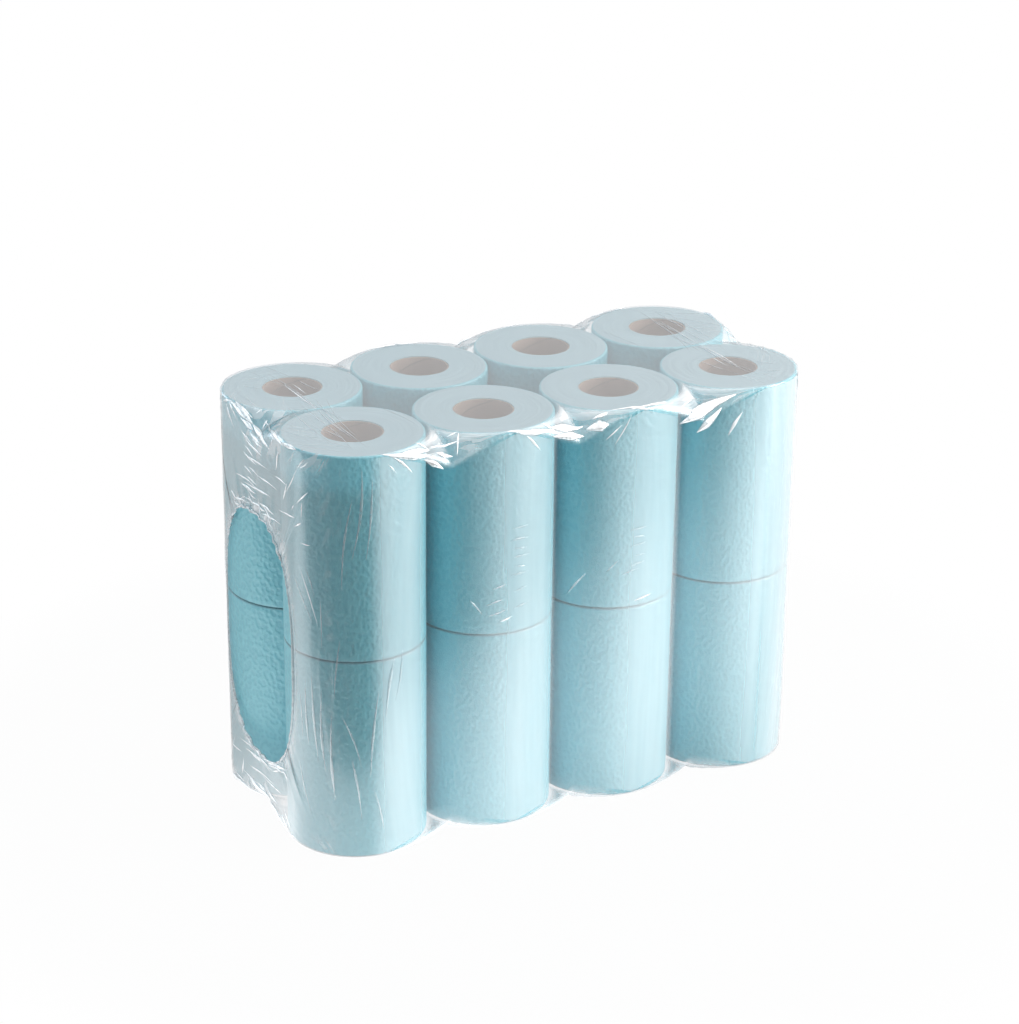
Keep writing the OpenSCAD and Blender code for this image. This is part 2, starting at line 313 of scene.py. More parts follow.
def film_material():
    """Clear glossy shrink film: it shows what is behind it, and gloss, milky hazing, painted highlights,
    painted sheen and creases on top.

    The attribute film_marks holds milky hazing together with painted highlights and painted sheen in its red,
    crumpling in its green, narrow folds in its blue and the fine rays of the gathers in its alpha.
    """
    material, n = new_material("clear_film")
    uv = n.add("ShaderNodeUVMap", uv_map="flow").outputs[0]
    stored = n.add("ShaderNodeAttribute", attribute_name="film_marks").outputs
    marks = n.add("ShaderNodeSeparateColor", {0: stored["Color"]}).outputs
    haze_and_painted_light, crumple, folds, gathers = marks[0], marks[1], marks[2], stored["Alpha"]
    # Crumples: flat facets with straight borders; random ones are whitened as painted highlights, as if they
    # caught the light
    bent = n.add("ShaderNodeVectorMath", {0: uv, 1: n.add("ShaderNodeVectorMath", {
        0: n.add("ShaderNodeTexNoise", {"Vector": uv, "Scale": 60.0, "Detail": 1.0}).outputs[1],
        1: (0.012, 0.012, 0)}, operation="MULTIPLY").outputs[0]}, operation="ADD").outputs[0]
    cells = n.add("ShaderNodeTexVoronoi", {"Vector": n.stretch(bent, (150, 62, 1)), "Scale": 1.0},
                  feature="F1")
    facet = n.add("ShaderNodeSeparateColor", {0: cells.outputs["Color"]}).outputs[0]
    painted_facet_glints = n.math("MULTIPLY", n.rise(facet, 0.62, 0.70), crumple)
    # Streaks: fine long lines across the film where it is stretched tight
    lines = n.noise(n.stretch(bent, (36, 700, 1)), 1.0, 2.0, 0.5, 0.4)
    streak = n.math("MULTIPLY", n.rise(lines, 0.60, 0.68), folds)
    rays = n.noise(n.stretch(bent, (520, 26, 1)), 1.0, 2.0, 0.5, 0.3)
    ray = n.math("MULTIPLY", n.rise(rays, 0.58, 0.66), gathers)
    soft = n.noise(n.stretch(uv, (3, 46, 1)), 1.0, 3.0, 0.55)
    haze_and_painted_light = n.math("MULTIPLY", haze_and_painted_light, n.rise(soft, 0.2, 0.8, 0.86, 1.14))
    veil = n.math("ADD", n.math("MULTIPLY", painted_facet_glints, 0.75), n.math("MULTIPLY", streak, 0.40))
    veil = n.math("ADD", n.math("ADD", haze_and_painted_light, veil), n.math("MULTIPLY", ray, 0.5), clamp=True)
    height = n.math("ADD", n.math("MULTIPLY", n.math("MULTIPLY", facet, crumple), 1.2),
                    n.math("MULTIPLY", n.math("MULTIPLY", lines, folds), 0.8))
    height = n.math("ADD", height, n.math("MULTIPLY", n.math("MULTIPLY", rays, gathers), 0.8))
    bump = n.add("ShaderNodeBump", {"Height": height, "Strength": 0.5, "Distance": 0.00035}).outputs[0]
    edge_on = n.add("ShaderNodeFresnel", {"IOR": 1.5, "Normal": bump}).outputs[0]
    gloss = n.math("MINIMUM", n.math("MULTIPLY", edge_on, 2.4), 0.34)
    shown = n.math("ADD", gloss, veil, clamp=True)
    metal = n.math("DIVIDE", gloss, n.math("ADD", n.math("ADD", gloss, veil), 0.001), clamp=True)
    shader = n.add("ShaderNodeBsdfPrincipled", {
        "Base Color": (0.955, 0.97, 0.985, 1), "Metallic": metal, "Roughness": 0.24,
        "Normal": bump})
    # Painted shade: the film's clear colour is darkened over the left end and the left edge of the end rolls
    # below the top, where the paper behind would lie in shade
    place = n.add("ShaderNodeSeparateXYZ", {0: n.add("ShaderNodeTexCoord").outputs["Object"]}).outputs
    clear_of_painted_shade = n.math("MAXIMUM", n.rise(place[0], -0.228, -0.183), n.rise(place[2], 0.35, 0.385))
    tint = n.add("ShaderNodeCombineColor", {0: n.rise(clear_of_painted_shade, 0.0, 1.0, 0.86, 0.985),
                                            1: n.rise(clear_of_painted_shade, 0.0, 1.0, 0.855, 0.99),
                                            2: n.rise(clear_of_painted_shade, 0.0, 1.0, 0.855, 0.995)}).outputs[0]
    clear_film_output(n, shown, shader, tint)
    return material


def fold_material():
    """Film that is folded on itself: whiter and shinier than one layer, with uneven edges."""
    material, n = new_material("folded_film")
    uv = n.add("ShaderNodeUVMap", uv_map="flow").outputs[0]
    across = n.add("ShaderNodeSeparateXYZ", {0: uv}).outputs[1]
    grain = n.noise(n.stretch(uv, (260, 1.5, 1)), 1.0, 3.0, 0.6)
    strength = n.rise(across, 1.3, 1.7, 1.0, 0.34)
    across = n.math("FRACT", across)
    middle = n.rise(n.math("ABSOLUTE", n.math("SUBTRACT", across, 0.5)), 0.3, 0.5, 1.0, 0.35)
    shown = n.math("MULTIPLY", n.math("MULTIPLY", middle, strength), n.rise(grain, 0.3, 0.55, 0.5, 1.0))
    bump = n.add("ShaderNodeBump", {"Height": grain, "Strength": 0.4, "Distance": 0.0004}).outputs[0]
    shader = n.add("ShaderNodeBsdfPrincipled", {
        "Base Color": (0.97, 0.98, 0.99, 1), "Metallic": 0.7, "Roughness": 0.3, "Normal": bump})
    clear_film_output(n, shown, shader, (0.98, 0.985, 0.99, 1))
    return material


PAPER = paper_material()
BOARD = board_material()
FILM = film_material()
FOLDED = fold_material()


# Rolls
EDGE_ROUND = 0.0022
TAIL_STEP = 0.0005
DENT_DEPTH = 0.00045
TURN_PITCH, TURN_DEPTH = 0.0036, 0.00012
TURN_STEPS = 181


def roll_profile():
    """The section of a roll as a closed line of (radius, height, length along the side).

    It goes down the bore, out along the foot, up the side and back in along the top. The edges are
    rounded. The length is 0 to the roll's height on the side, and below 0 on the ends.
    """
    edge = EDGE_ROUND
    bore = np.linspace(ROLL_H, 0, 5)[:-1]
    out = np.linspace(ROLL_BORE_R, ROLL_R - edge, 12)[:-1]
    bend = np.radians(np.linspace(0, 90, 6))
    up = np.linspace(edge, ROLL_H - edge, 37)[1:-1]
    r = np.concatenate([np.full(len(bore), ROLL_BORE_R), out, ROLL_R - edge + edge * np.sin(bend),
                        np.full(len(up), ROLL_R), ROLL_R - edge + edge * np.cos(bend), out[::-1][:-1]])
    z = np.concatenate([bore, np.zeros(len(out)), edge - edge * np.cos(bend), up,
                        ROLL_H - edge + edge * np.sin(bend), np.full(len(out) - 1, ROLL_H)])
    flat = (z <= 1e-9) | (z >= ROLL_H - 1e-9)
    v = np.where(flat | (r <= ROLL_BORE_R + 1e-9), -(ROLL_R - r) - 0.0025, z)
    return r, z, v


def roll_piece(layer, row, column):
    """One wound roll: the profile turned round the axis, with the paper's loose end as a spiral step.

    The radius grows by the step's depth over one turn from the loose end, which is a doubled
    column of points. Soft dents press the side in by up to half a millimetre, and the ends
    sink and rise with the turns by a quarter of a millimetre.
    """
    number = (layer * 2 + row) * COLUMNS + column
    tail = math.radians(TAIL_ANGLES[layer][row][column])
    turn = np.concatenate([[0.0], np.linspace(0, 1, TURN_STEPS)])
    lift = np.concatenate([[1.0], np.linspace(0, 1, TURN_STEPS)])[:, None]
    angle = (tail + 2 * np.pi * turn)[:, None]
    r, z, v = (a[None, :] for a in roll_profile())
    on_side = smoothstep(ROLL_R - 0.004, ROLL_R, r)
    on_end = 1 - smoothstep(ROLL_R - 0.004, ROLL_R, r)
    dent = 0.5 + 0.5 * waves(2 * np.cos(angle), z * 30 + 2 * np.sin(angle), number, 6, 0.6, 1.6)
    radius = r - on_side * (TAIL_STEP * (1 - lift) + DENT_DEPTH * np.clip(dent, 0, 1))
    wound = on_end * (r > ROLL_BORE_R + 0.001)
    ripple = TURN_DEPTH * (1 + np.sin(r * 2 * np.pi / TURN_PITCH + angle)) * wound
    height = z + np.where(z > ROLL_H / 2, -ripple, ripple)
    cx = (column - (COLUMNS - 1) / 2) * PITCH
    cy = -ROW_Y if row == 0 else ROW_Y
    points = np.stack([cx + radius * np.cos(angle), cy + radius * np.sin(angle),
                       FILM_T + layer * ROLL_H + height + 0 * angle], -1)
    # The first two columns are the two sides of the loose end's step, and the last lies on the first
    columns = points.shape[0] - 1
    points = points[:-1]
    faces = grid_faces(columns, points.shape[1], True, True)
    i, k = np.meshgrid(np.arange(columns), np.arange(points.shape[1]), indexing="ij")
    u = turn * 2 * np.pi * ROLL_R + 0.83 * number
    u_next = u[1:]
    rows_v = v[0]
    after = np.roll(rows_v, -1)
    # A seam where the length jumps between the bore, the ends and the side keeps the value of its face
    corners = np.stack([
        np.stack([u[i], rows_v[k]], -1), np.stack([u_next[i], rows_v[k]], -1),
        np.stack([u_next[i], after[k]], -1), np.stack([u[i], after[k]], -1)], 2).reshape(-1, 4, 2)
    name = f"paper_{LAYERS[layer]}_{ROWS[row]}_{column + 1}"
    piece = add_mesh(name, points.reshape(-1, 3), faces, corners, PAPER, 50)
    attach(piece, "root")
    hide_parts(f"roll_{LAYERS[layer]}_{ROWS[row]}_{column + 1}")


for layer in range(2):
    for row in range(2):
        for column in range(COLUMNS):
            roll_piece(layer, row, column)
            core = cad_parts[f"core_{LAYERS[layer]}_{ROWS[row]}_{column + 1}"]
            core.data.materials.clear()
            core.data.materials.append(BOARD)


# Film
SKIN = FILM_GAP + FILM_T
WALL = ROLL_R + SKIN
BEND = 0.0024
WEB_DROP = 0.0245
INSET = 1 - 0.0016 / WALL
EDGE_TURN, ABOVE, BELOW = 1.47, 1.53, 1.5
CORNER_ARC = ROLL_R * math.pi / 2
HOLE_W, HOLE_ABOVE, HOLE_BELOW, HOLE_SQUARE = 0.154, 0.092, 0.060, 2.6
HOLE_MIDDLE = 0.184
SKIN_GAP = 0.00025
PLEAT_LENGTH, PLEAT_H = 0.021, 0.0026
TENSION_LENGTH, TENSION_H = 0.013, 0.0008
CREASE_LENGTH, CREASE_H = 0.018, 0.0012
SLACK = 0.0012
FOLD_LIFT = 0.00012


def wall_length(turn):
    """Length along the end wall from its middle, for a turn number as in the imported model."""
    return np.where(turn <= 1, ROW_Y * (1 - np.cos(np.pi / 2 * np.minimum(turn, 1))),
                    ROW_Y + CORNER_ARC * (turn - 1))


def wall_turn(length):
    """The turn number at a length along the end wall."""
    flat = np.arccos(np.clip(1 - length / ROW_Y, -1, 1)) / (np.pi / 2)
    return np.where(length <= ROW_Y, flat, 1 + (length - ROW_Y) / CORNER_ARC)


def on_wall(turn, r):
    """The plan of the end wall at a turn number, for a corner of radius r."""
    a = np.pi / 2 * (turn - 1)
    flat = turn <= 1
    return (np.where(flat, END_X + r, END_X + r * np.cos(a)),
            np.where(flat, wall_length(turn), ROW_Y + r * np.sin(a)))


def on_rim(turn, r):
    """The plan of the rolls' top edge at a turn number: an arc of radius r round the corner roll."""
    x, y = on_wall(turn, r)
    flat = turn <= 1
    away = ROW_Y - np.where(flat, y, ROW_Y)
    return np.where(flat, END_X + INSET * np.sqrt(np.maximum(WALL ** 2 - away ** 2, 0)), x), y


def film_strands():
    """The film's strands as four arrays, and the length from the end wall's middle to the edge strand.

    The arrays are the kind, which is 0 on the top and the foot and 1 or -1 on the two walls, the
    share of the way from the middle to the edge, the curl over the edge in radians, and 1 at the
    foot or 0 at the top.
    """
    edge = wall_length(np.array(EDGE_TURN))
    level = np.linspace(1, -1, 65)
    curl = np.radians(np.linspace(0, 90, 13)[1:-1])
    wall = np.linspace(0, 1, 41)
    kinds, shares, curls, low = [], [], [], []

    def put(kind, share, bend, foot):
        kinds.append(np.full(len(share), kind))
        shares.append(share)
        curls.append(bend)
        low.append(np.full(len(share), foot))

    half = level[:33]
    ones = np.ones(len(curl))
    put(0, half[::-1][:-1], np.zeros(32), 1)
    put(0, ones, curl, 1)
    put(1, 1 - wall, np.full(41, np.pi / 2), 1)
    put(0, ones, curl[::-1], 0)
    put(0, level, np.zeros(65), 0)
    put(0, -ones, curl, 0)
    put(-1, wall, np.full(41, np.pi / 2), 0)
    put(0, -ones, curl[::-1], 1)
    put(0, -half[:-1], np.zeros(32), 1)
    return [np.concatenate(parts) for parts in (kinds, shares, curls, low)] + [float(edge)]


def film_base():
    """The film's outer skin as an array of points, loops by strands, with what its masks need.

    Loops over the rolls are level across the discs and end in a quarter ellipse that starts on
    the disc's rim and lands on the front or back wall, lower in the valleys. Loops at an end go
    to the rim of the end roll, bend over it in the same way and run straight to the oval rim.
    """
    kind, share, curl, low, edge_length = film_strands()
    level = kind == 0
    side = np.where(level, np.sign(share), kind)
    top, foot = FILM_T + ROLLS_H + SKIN, 0.0

    def height(drop):
        lying = np.where(low == 1, foot + drop, top - drop)
        standing = (top - drop) * (1 - wall_share) + (foot + drop) * wall_share
        return np.where(level, lying, standing)

    wall_share = np.where(level, 0, np.abs(share))
    level_share = np.where(level, np.abs(share), 1)
    turn0 = np.where(level, wall_turn(level_share * edge_length), EDGE_TURN)
    curl_share = curl / (np.pi / 2)
    loops = []

    # Across the rolls
    t = np.linspace(0, 1, 13)
    half = ROW_Y * (0.4 * t + 0.6 * np.sin(np.pi / 2 * t))
    spots = np.concatenate([half[:-1], PITCH - half[::-1][:-1]])
    xs = np.concatenate([c * PITCH - END_X + spots for c in range(COLUMNS - 1)] + [[END_X]])
    for x in xs:
        away = abs(x - (np.round((x + END_X) / PITCH) * PITCH - END_X))
        reach = ROW_Y + INSET * math.sqrt(max(WALL ** 2 - away ** 2, 0))
        fall = BEND + WEB_DROP * away / ROW_Y
        full = ROW_Y + WALL
        y = np.where(level, level_share * reach + (full - reach) * np.sin(np.where(level, curl, 0)), full)
        z = height(np.where(level, fall * (1 - np.cos(curl)), fall))
        loops.append((np.full(len(kind), x), side * y, z, away / ROW_Y, 0.0))

    def edge_place(k):
        """Turn number, drop and roundness of each strand where its loop bends by k over the edge."""
        corner = ABOVE + (BELOW - ABOVE) * k
        turn = turn0 + (corner - EDGE_TURN) * curl_share
        valley = np.where(turn0 <= 1, np.cos(np.pi / 2 * np.minimum(turn0, 1)), 0)
        a = k * np.pi / 2
        drop = ((BEND + WEB_DROP * valley) * (1 - np.cos(a)) + BEND * (1 - np.cos(curl))
                + BEND * k * curl_share)
        round_off = np.sin(np.pi / 2 * (1 - (1 - curl_share) * (1 - k)))
        return turn, drop, round_off

    ends = []
    turn_a, drop_a, round_a = edge_place(0.0)
    reach_x, reach_y = on_rim(turn_a, INSET * WALL + (1 - INSET) * WALL * round_a)
    start_y = wall_length(turn_a) / edge_length * (ROW_Y + INSET * WALL)
    for s in np.linspace(0, 1, 15)[1:]:
        inner = (turn_a < EDGE_TURN) & level
        tt = 2 + (turn_a - 2) * s
        wx, wy = on_wall(tt, INSET * WALL + (1 - INSET) * WALL * round_a)
        x = np.where(inner, END_X * (1 - s) + reach_x * s, wx)
        y = np.where(inner, start_y * (1 - s) + reach_y * s, wy)
        ends.append((x, side * y, height(drop_a), 0.0, s))
    for k in np.linspace(0, 1, 13)[1:]:
        turn, drop, round_off = edge_place(k)
        r = WALL * (INSET + (1 - INSET) * round_off)
        ax, ay = on_rim(turn, r)
        bx, by = on_wall(turn, r)
        a = math.sin(k * math.pi / 2)
        ends.append((ax * (1 - a) + bx * a, side * (ay * (1 - a) + by * a), height(drop), 0.0, 1.0 + k))

    # Down the end wall to the oval rim, whose points are spaced by length
    turn, drop, _ = edge_place(1.0)
    from_length, from_z = wall_length(turn), height(drop)
    hole_z = (HOLE_BELOW + top - HOLE_ABOVE) / 2
    hole_r = (top - HOLE_ABOVE - HOLE_BELOW) / 2
    flat_y = side * from_length
    heading = np.arctan2(from_z - hole_z, flat_y)
    span = (np.abs(flat_y * 2 / HOLE_W) ** HOLE_SQUARE
            + (np.abs(from_z - hole_z) / hole_r) ** HOLE_SQUARE) ** (1 / HOLE_SQUARE)
    rim_y, rim_z = flat_y / span, hole_z + (from_z - hole_z) / span
    for s in np.linspace(0, 1, 25)[1:]:
        yy = np.abs(flat_y * (1 - s) + rim_y * s)
        zz = from_z * (1 - s) + rim_z * s
        tt = wall_turn(yy)
        x, y = on_wall(tt, WALL)
        ends.append((x, side * y, zz, 0.0, 2.0 + s))

    # Each loop ends with its distance from a roll's axis, its zone, and the end that it belongs to
    rows = [(-x, *rest, -1) for x, *rest in reversed(ends)]
    rows += [(*loop, 0) for loop in loops] + [(*loop, 1) for loop in ends]
    points = np.array([np.stack([np.broadcast_to(v, kind.shape) for v in row[:3]], -1) for row in rows])
    away, zone, end = (np.array([row[k] for row in rows])[:, None] for k in (3, 4, 5))
    return points, away, zone, end, kind, level, curl, low


def grid_normals(points):
    """Unit normals of a grid whose strands are closed, from the differences of its neighbours."""
    along = np.gradient(points, axis=0)
    round_ = np.roll(points, -1, 1) - np.roll(points, 1, 1)
    n = np.cross(round_, along)
    length = np.linalg.norm(n, axis=-1, keepdims=True)
    return n / np.maximum(length, 1e-12)


def uprightness(y, z):
    """1 straight above and below the middle of an end's opening, and 0 beside it."""
    return np.abs(np.sin(np.arctan2(z - HOLE_MIDDLE, np.abs(y) * 1.6 + 1e-6)))


def film_piece():
    """The sleeve of film: the outer skin with its folds, its curled rims and an inner skin.

    Every point of the base moves along its normal by a lift, which is a sum of sharp-crested
    sine waves, each kept to its own zone. The inner skin lies a fixed gap inside.
    """
    points, away, zone, end, kind, level, curl, low = film_base()
    normal = grid_normals(points)
    x, y, z = points[..., 0], points[..., 1], points[..., 2]

    # Length along each strand, and round the pack
    step = np.linalg.norm(np.diff(points, axis=0), axis=-1)
    v = np.concatenate([np.zeros((1, points.shape[1])), np.cumsum(step, 0)])
    middle = len(points) // 2
    v -= v[middle]
    ring = points[middle]
    u = np.concatenate([[0], np.cumsum(np.linalg.norm(np.diff(ring, axis=0), axis=-1))])
    girth = u[-1] + np.linalg.norm(ring[0] - ring[-1])
    u = np.broadcast_to(u[None, :], x.shape)

    near_end = smoothstep(0.15, 2.0, zone)
    down = np.clip(zone - 2, 0, 1)
    # Gathers: pleats that grow toward the rim, with sharp crests and a length round the pack of 15 to 30 mm
    phase = u * 2 * np.pi / PLEAT_LENGTH + 1.4 * np.sin(u * 37) + 0.9 * np.sin(v * 55 + u * 12)
    pleats = 1 - np.abs(np.sin(phase / 2))
    upright = uprightness(y, z)
    lift = PLEAT_H * pleats * down ** 3 * (1 - 0.3 * np.sin(u * 9)) * (0.12 + 0.88 * upright ** 3)
    # Tension folds over the tops near the ends, along the bend of the film round the pack
    fold_phase = v * 2 * np.pi / TENSION_LENGTH + 1.1 * np.sin(u * 21 + 1) + 0.7 * np.sin(u * 53)
    folds = (1 - np.abs(np.sin(fold_phase / 2))) ** 2
    tight = smoothstep(0.0, 1.0, zone) * (1 - smoothstep(2.0, 2.6, zone))
    lift += TENSION_H * folds * tight * (0.5 + 0.5 * np.sin(u * 17 + 2 * end))
    # Creases of the webs in the valleys
    valley = away ** 2 * np.sin(2 * curl)[None, :]
    lift += CREASE_H * valley * (1 - np.abs(np.sin(x * 2 * np.pi / CREASE_LENGTH + 40 * z)))
    # Slack between the discs on the top and over the bores
    lift -= SLACK * away ** 3 * level[None, :] * np.cos(np.clip(np.abs(y) / 0.05, 0, np.pi / 2))
    points = points + normal * lift[..., None]

    def curl_rim(edge, before, turn_steps=8, radius=0.0010, angle=math.radians(290)):
        """Loops that carry the rim on along an arc, outward from the pack and back."""
        tangent = edge - before
        tangent /= np.maximum(np.linalg.norm(tangent, axis=-1, keepdims=True), 1e-9)
        around = np.roll(edge, -1, 0) - np.roll(edge, 1, 0)
        around /= np.linalg.norm(around, axis=-1, keepdims=True)
        outward = np.cross(around, tangent)
        outward *= np.sign(outward[:, :1] * np.sign(edge[:, :1]))
        r = (radius * (1 + 0.3 * np.sin(np.arange(len(edge)) * 2 * np.pi / 37)))[:, None]
        return [edge + tangent * r * math.sin(a) + outward * r * (1 - math.cos(a))
                for a in np.linspace(0, angle, turn_steps + 1)[1:]]

    right = curl_rim(points[-1], points[-3])
    left = curl_rim(points[0], points[2])
    points = np.concatenate([np.array(left[::-1]), points, np.array(right)])
    pad = len(left)

    def extend(a, grow=0.0):
        """Repeats the first and last loop of an array for the curled rims, growing by a step."""
        before = np.repeat(a[:1], pad, 0) - grow * np.arange(pad, 0, -1)[:, None]
        after = np.repeat(a[-1:], pad, 0) + grow * np.arange(1, pad + 1)[:, None]
        return np.concatenate([before, a, after])

    u, v = extend(u), extend(v, 0.0011)
    zone, down, near_end = extend(zone), extend(down), extend(near_end)
    points[..., 2] = np.maximum(points[..., 2], 0.0002)
    normal = grid_normals(points)
    inner = points - normal * SKIN_GAP
    inner[..., 2] = np.maximum(inner[..., 2], 0.0001)

    x, y, z = points[..., 0], points[..., 1], points[..., 2]
    web = np.broadcast_to((curl * (np.pi / 2 - curl))[None, :] / (np.pi / 4) ** 2, x.shape)
    flat_top = np.broadcast_to((level & (low == 0) & (curl == 0))[None, :], x.shape) * 1.0
    rims = smoothstep(0.80, 0.97, down)
    body = 1 - smoothstep(0.0, 0.4, zone)
    # Painted sheen: on the front and back walls the film is whitened in a band over each roll, strongest just
    # right of its axis as seen from the front, where the paper faces the key light and should look pale
    axis_x = np.clip(np.round((x + END_X) / PITCH), 0, COLUMNS - 1) * PITCH - END_X
    column = (x - axis_x) * np.where(y < 0, 1, -1)
    wall = np.broadcast_to((kind != 0)[None, :], x.shape) * 1.0
    beyond = smoothstep(0.0, 0.01, -x * np.sign(y) - END_X)
    painted_side_sheen = (smoothstep(-0.060, 0.014, column) * (1 - smoothstep(0.033, 0.041, column) * (1 - beyond)) * wall
             * np.maximum(body, beyond * (1 - smoothstep(2.1, 2.8, zone))))
    # Painted highlights: the webs are whitened, most on the side that faces along +X at the front, less on
    # the other, which is broken by facets
    from_valley = np.where(column > 0, column - ROW_Y, column + ROW_Y)
    left_web_highlight = web * smoothstep(-0.066, -0.030, from_valley) * (1 - smoothstep(-0.006, 0.001, from_valley))
    right_web_highlight = web * smoothstep(-0.001, 0.006, from_valley) * (1 - smoothstep(0.030, 0.060, from_valley))
    # Painted highlight: a thin white line where the film bends over each disc's rim
    rim_lip_highlight = np.broadcast_to(np.exp(-((np.degrees(curl) - 22) / 13) ** 2)[None, :] * (curl > 0), x.shape) * body
    # Painted light: the painted sheen, the web highlights and the rim highlight are added here to the film's
    # milky hazing
    haze_and_painted_light = (0.01 + 0.05 * flat_top + 0.34 * painted_side_sheen + body * (0.34 * left_web_highlight + 0.14 * right_web_highlight)
            + 0.30 * rim_lip_highlight + 0.22 * rims + 0.05 * near_end)
    upright = uprightness(y, z)
    edge_band = smoothstep(0.85, 1.25, zone) * (1 - smoothstep(2.04, 2.22, zone)) * (0.25 + 0.75 * (1 - wall))
    strip = (np.exp(-(y / 0.020) ** 2) * smoothstep(2.0, 2.1, zone) * (1 - rims)
             * smoothstep(0.09, 0.11, np.abs(z - ROLL_H)))
    crumple = 0.4 * edge_band + 0.15 * strip + rims * (0.1 + 0.7 * upright ** 3) + 0.25 * body * web
    folds_mark = (0.55 * smoothstep(0.05, 0.7, zone) * (1 - smoothstep(1.0, 1.3, zone)) * (1 - 0.6 * wall)
                  + 0.04 * smoothstep(1.0, 1.3, zone) * wall)
    gathers = (0.5 * smoothstep(0.6, 1.0, down) * (0.1 + 0.9 * upright ** 2)
               + 0.03 * smoothstep(1.6, 2.1, zone))
    masks = haze_and_painted_light, crumple, folds_mark, gathers
    marks = np.stack([np.broadcast_to(np.clip(mask, 0, 1), x.shape) for mask in masks], -1)

    rows, columns = points.shape[:2]
    outer_faces = grid_faces(rows, columns, False, True)[:, ::-1]
    inner_faces = outer_faces[:, ::-1] + rows * columns
    j = np.arange(columns)
    k = (j + 1) % columns
    base, last = rows * columns, (rows - 1) * columns
    rim_faces = np.concatenate([
        np.stack([base + j, base + k, k, j], -1),
        np.stack([last + k, base + last + k, base + last + j, last + j], -1)])
    faces = np.concatenate([outer_faces, inner_faces, rim_faces])
    flow = np.stack([np.concatenate([u, u]).reshape(-1), np.concatenate([v, v]).reshape(-1)], -1)
    corners = flow[faces]
    wrapped = (corners[..., 0].max(1) - corners[..., 0].min(1)) > girth / 2
    corners[..., 0] += np.where(wrapped[:, None] & (corners[..., 0] < girth / 2), girth, 0)
    all_points = np.concatenate([points.reshape(-1, 3), inner.reshape(-1, 3)])
    piece = add_mesh("film_sleeve", all_points, faces, corners, FILM)
    attribute = piece.data.attributes.new("film_marks", "FLOAT_COLOR", "POINT")
    attribute.data.foreach_set("color", np.concatenate([marks, marks]).astype(np.float32).ravel())
    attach(piece, "root")
    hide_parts("film")
    return points, normal
